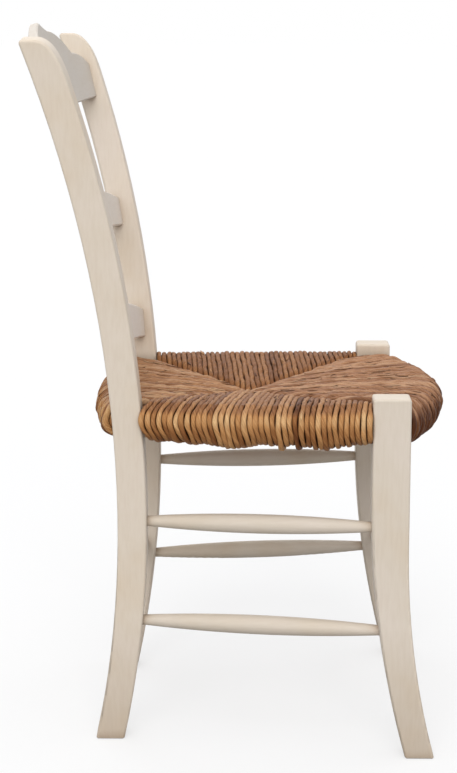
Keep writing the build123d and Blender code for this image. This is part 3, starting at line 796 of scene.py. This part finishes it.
def painted_wood(name, grain, paint):
    """Paint brushed along the wood with a little wear, painted shade where pieces meet and towards the
    floor, and a painted highlight on its edges; grain draws the texture out along one axis.
    """
    n = Finish(name)
    place = n.add("TexCoord").outputs["Object"]
    along = n.stretched(place, grain)
    brush = n.noise(along, scale=260.0, detail=4.0, roughness=0.6)
    fine = n.noise(along, scale=900.0, detail=2.0, roughness=0.5)
    cloud = n.noise(place, scale=9.0, detail=3.0, roughness=0.6)
    spots = n.noise(place, scale=60.0, detail=3.0, roughness=0.6)
    r, g, b = paint
    tone = n.ramp(cloud, stops([(0.3, (r - 3, g - 6, b - 10)), (0.5, paint), (0.7, (r + 3, g + 3, b + 5))]))
    streak = n.ramp(brush, [(0.34, srgb(*BRUSH_MARKS)), (0.6, WHITE)])
    tone = n.mix(BRUSH_SHARE, tone, streak, "MULTIPLY")
    # warm dirt and painted shade where pieces meet, darker where the surface is occluded
    shade = n.add("AmbientOcclusion", {"Distance": DIRT_AND_SHADE_REACH}, samples=8, only_local=False)
    dirt_and_shade = n.ramp(shade.outputs["AO"], [(0.45, WHITE), (0.85, BLACK)])
    tone = n.mix(n.math("MULTIPLY", dirt_and_shade, DIRT_AND_SHADE_SHARE), tone, srgb(*DIRT_AND_SHADE))
    # painted shade, darker towards the floor
    height = n.add("SeparateXYZ", {"Vector": place}).outputs["Z"]
    floor_shade = n.ramp(height, [(0.0, WHITE), (FLOOR_SHADE_HEIGHT, BLACK)])
    tone = n.mix(n.math("MULTIPLY", floor_shade, FLOOR_SHADE_SHARE), tone, srgb(*FLOOR_SHADE), "MULTIPLY")
    # a painted highlight on the edges, and in places paint rubbed down to the wood
    rounded = n.add("Bevel", {"Radius": EDGE_RADIUS}, samples=6).outputs["Normal"]
    face = n.add("NewGeometry").outputs["Normal"]
    alike = n.add("VectorMath", {0: rounded, 1: face}, operation="DOT_PRODUCT").outputs["Value"]
    edge = n.math("MULTIPLY", n.math("SUBTRACT", 1.0, alike), EDGE_GAIN, True)
    patchy = n.ramp(spots, [(0.58, BLACK), (0.72, WHITE)])
    tone = n.mix(n.math("MULTIPLY", edge, EDGE_HIGHLIGHT_SHARE), tone, srgb(*EDGE_HIGHLIGHT))
    wear = n.math("MULTIPLY", edge, patchy)
    tone = n.mix(n.math("MULTIPLY", wear, CHIPPED_SHARE), tone, srgb(*CHIPPED))
    n.surface({
        "Base Color": tone,
        "Roughness": n.scaled(brush, gain=0.2, base=0.4),
        "Specular IOR Level": 0.25,
        "Normal": n.bump(n.weighed(brush, 0.7, fine, 0.3), strength=0.1, depth=0.0005),
    })
    return n.material


def bare_wood():
    """Unpainted rails under the rush."""
    n = Finish("bare_wood")
    place = n.add("TexCoord").outputs["Object"]
    grain = n.noise(n.stretched(place, RAIL_GRAIN), scale=160.0, detail=5.0, roughness=0.6)
    n.surface({
        "Base Color": n.ramp(grain, stops([(0.35, DARK_GRAIN), (0.65, PALE_GRAIN)])),
        "Roughness": 0.7,
        "Normal": n.bump(grain, strength=0.3, depth=0.0005),
    })
    return n.material


def leaf_material(name, side_colours, top_colours):
    """Twisted leaves: fibres along the cord, a tint for each turn, other colours on top, and painted shade
    in the crevices.
    """
    n = Finish(name)
    tint = n.add("Attribute", attribute_name="tint").outputs["Fac"]
    top = n.add("Attribute", attribute_name="top").outputs["Fac"]
    cord = n.add("Attribute", attribute_name="cord").outputs["Vector"]
    leaves = n.noise(n.stretched(cord, LEAF_GRAIN), scale=1.6, detail=3.0, roughness=0.6)
    fibres = n.noise(n.stretched(cord, FIBRE_GRAIN), scale=1.8, detail=4.0, roughness=0.65)
    value = n.math("SUBTRACT", n.weighed(tint, TINT_SHARE, leaves, LEAVES_SHARE), TINT_OFFSET, True)
    colour = n.mix(top, n.ramp(value, stops(side_colours)), n.ramp(value, stops(top_colours)))
    streak = n.ramp(fibres, [(0.32, srgb(*FIBRE_SHADE)), (0.6, WHITE)])
    colour = n.mix(FIBRE_SHARE, colour, streak, "MULTIPLY")
    # painted shade in the crevices between the turns
    shade = n.add("AmbientOcclusion", {"Distance": CREVICE_SHADE_REACH}, samples=8)
    crevice_shade = n.ramp(shade.outputs["AO"], [(0.26, WHITE), (0.68, BLACK)])
    colour = n.mix(n.math("MULTIPLY", crevice_shade, CREVICE_SHADE_SHARE), colour, srgb(*CREVICE_SHADE))
    n.surface({
        "Base Color": colour,
        "Roughness": n.scaled(fibres, gain=0.3, base=0.42),
        "Specular IOR Level": 0.14,
        "Normal": n.bump(n.weighed(leaves, 0.6, fibres, 0.4), strength=0.6, depth=0.0012),
    })
    return n.material


def dress(node, material):
    """One material all over a piece of the frame."""
    slots = nodes[node].data.materials
    slots.clear()
    slots.append(material)


def dress_wood():
    """Paint on each piece of the frame, brushed along its length, paler or darker by piece as painted light
    and shade, and bare wood under the rush.
    """
    upright = painted_wood("paint_upright", ALONG_Z, POST_PAINT)
    front_upright = painted_wood("paint_front_upright", ALONG_Z, LEG_PAINT_SHADED)
    crosswise = painted_wood("paint_crosswise", ALONG_X, CREST_PAINT_SHADED)
    slatwise = painted_wood("paint_slatwise", ALONG_X, SLAT_PAINT_LIT)
    lengthwise = painted_wood("paint_lengthwise", ALONG_Y, STRETCHER_PAINT_SHADED)
    plain = bare_wood()
    for node in nodes:
        if node in ("front_stretcher", "rear_stretcher", "crest_rail"):
            dress(node, crosswise)
        elif node.endswith("_stretcher"):
            dress(node, lengthwise)
        elif node.endswith("_slat"):
            dress(node, slatwise)
        elif node.endswith("_seat_rail"):
            dress(node, plain)
        elif node.startswith("front_leg"):
            dress(node, front_upright)
        elif node.startswith("rear_post"):
            dress(node, upright)


def dress_seat():
    """The rush and the straw, in place of their plain solids."""
    weave = rush_seat()
    weave.data.materials.append(leaf_material("rush", RUSH_SIDE, RUSH_TOP))
    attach(weave, "root")
    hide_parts("rush_seat")
    straw_look = leaf_material("straw", STRAW_PALE, STRAW_PALE)
    for panel in ("front", "rear", "left", "right"):
        stuffing = straw(f"{panel}_straw", f"{panel}_straw_pad")
        stuffing.data.materials.append(straw_look)
        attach(stuffing, "root")
        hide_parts(f"{panel}_straw_pad")


def lay_floor():
    """A floor that is white where it is seen, and keeps the chair's shadow."""
    mesh = bpy.data.meshes.new("floor")
    angles = np.linspace(0, FULL_TURN, FLOOR_SIDES, endpoint=False)
    rim = [(FLOOR_RADIUS * math.cos(a), FLOOR_RADIUS * math.sin(a), FLOOR_Z) for a in angles]
    mesh.from_pydata(rim, [], [tuple(range(FLOOR_SIDES))])
    floor = bpy.data.objects.new("floor", mesh)
    bpy.context.scene.collection.objects.link(floor)
    n = Finish("floor")
    n.surface({
        "Base Color": FLOOR_GREY,
        "Roughness": 0.9,
        "Specular IOR Level": 0.0,
        "Emission Color": WHITE,
        "Emission Strength": n.math("MULTIPLY", n.seen(), FLOOR_GLOW),
    })
    mesh.materials.append(n.material)


def surroundings():
    """Soft light from all round, and white where the surroundings are seen."""
    world = bpy.data.worlds.new("studio")
    bpy.context.scene.world = world
    world.use_nodes = True
    n = Nodes(world.node_tree)
    n.tree.nodes.clear()
    ambient = n.add("Background", {"Color": AMBIENT_COLOUR, "Strength": AMBIENT})
    white = n.add("Background", {"Color": WHITE, "Strength": 1.0})
    mix = n.add("MixShader", {0: n.seen(), 1: ambient.outputs[0], 2: white.outputs[0]})
    n.add("OutputWorld", {"Surface": mix.outputs[0]})


def lights():
    """Wide soft suns, the stronger ones from above and from the camera's side."""
    for name, (toward, strength, angle) in LIGHTS.items():
        lamp = bpy.data.lights.new(name, "SUN")
        lamp.energy = strength
        lamp.angle = math.radians(angle)
        holder = bpy.data.objects.new(name, lamp)
        holder.rotation_euler = Vector(toward).to_track_quat("Z", "Y").to_euler()
        bpy.context.scene.collection.objects.link(holder)


def camera():
    """The photograph's view, from the chair's right side, about as high as the top of its back."""
    data = bpy.data.cameras.new("camera")
    data.sensor_width = SENSOR
    data.lens = FOCAL_LENGTH * SENSOR / PHOTO_HEIGHT
    view = bpy.data.objects.new("camera", data)
    view.location = CAMERA_PLACE
    level = math.cos(CAMERA_PITCH)
    ahead = Vector((math.cos(CAMERA_YAW) * level, math.sin(CAMERA_YAW) * level, -math.sin(CAMERA_PITCH)))
    view.rotation_euler = ahead.to_track_quat("-Z", "Y").to_euler()
    bpy.context.scene.collection.objects.link(view)
    bpy.context.scene.camera = view


dress_wood()
dress_seat()
lay_floor()
surroundings()
lights()
camera()
bpy.context.scene.view_settings.view_transform = "Standard"
